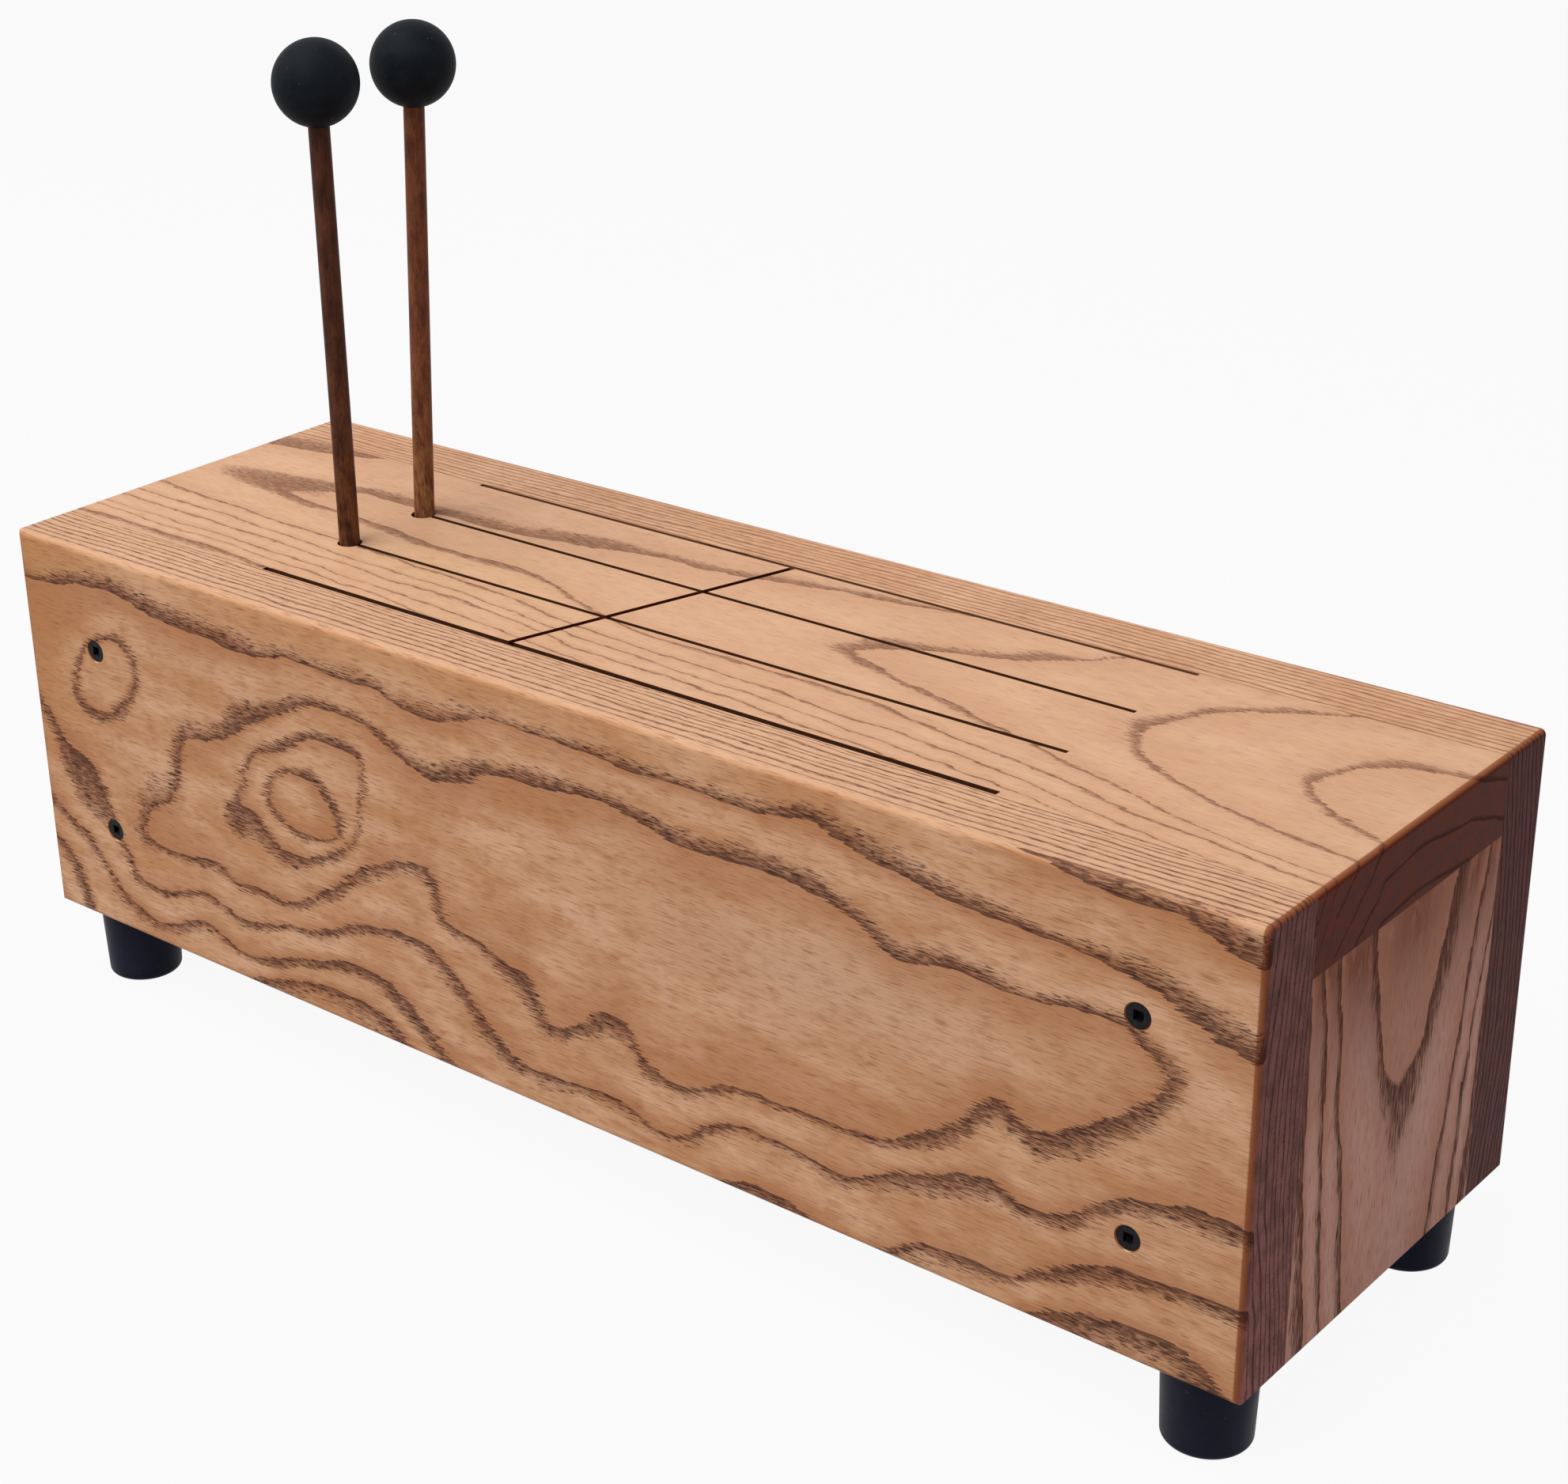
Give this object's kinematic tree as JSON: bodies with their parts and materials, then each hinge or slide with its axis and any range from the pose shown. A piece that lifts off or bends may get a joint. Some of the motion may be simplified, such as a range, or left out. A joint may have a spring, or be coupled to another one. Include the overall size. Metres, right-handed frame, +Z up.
{
  "type": "log drum",
  "caption": "Wooden box tongue drum on rubber feet, its slotted top sawn into tongues, with rubber-headed mallets standing in holes in the top.",
  "frame": {"origin": "on the surface that the feet stand on, under the middle of the box", "axes": "+X to the right along the length of the box, +Y to the back, +Z up"},
  "size_m": [0.521, 0.165, 0.3631],
  "materials": {
    "stained_ash": "satin oil over stain",
    "inside_ash": "planed, unfinished",
    "block_wood": "sawn, unfinished",
    "foot_rubber": "satin moulded",
    "black_screws": "black phosphate",
    "zinc_steel": "zinc plated",
    "mallet_stick": "dark stain",
    "mallet_rubber": "matte"
  },
  "bodies": {
    "drum": {"front_board": "stained_ash", "back_board": "stained_ash", "left_tongue_board": "stained_ash", "right_tongue_board": "stained_ash", "left_end_panel": "stained_ash", "right_end_panel": "stained_ash", "bottom_board": "inside_ash", "front_left_block": "block_wood", "front_right_block": "block_wood", "back_left_block": "block_wood", "back_right_block": "block_wood", "front_left_foot": "foot_rubber", "front_right_foot": "foot_rubber", "back_left_foot": "foot_rubber", "back_right_foot": "foot_rubber", "front_screws": "black_screws", "back_screws": "black_screws", "foot_screws": "zinc_steel", "foot_washers": "zinc_steel"},
    "front_mallet": {"front_mallet_stick": "mallet_stick", "front_mallet_ball": "mallet_rubber"},
    "rear_mallet": {"rear_mallet_stick": "mallet_stick", "rear_mallet_ball": "mallet_rubber"}
  },
  "joints": [
    {"name": "front_mallet_lift", "type": "slide", "parent": "drum", "child": "front_mallet", "axis": [0, 0, 1], "range_m": [0, 0.14]},
    {"name": "rear_mallet_lift", "type": "slide", "parent": "drum", "child": "rear_mallet", "axis": [0.0265, 0.0228, 0.9994], "range_m": [0, 0.14]}
  ]
}
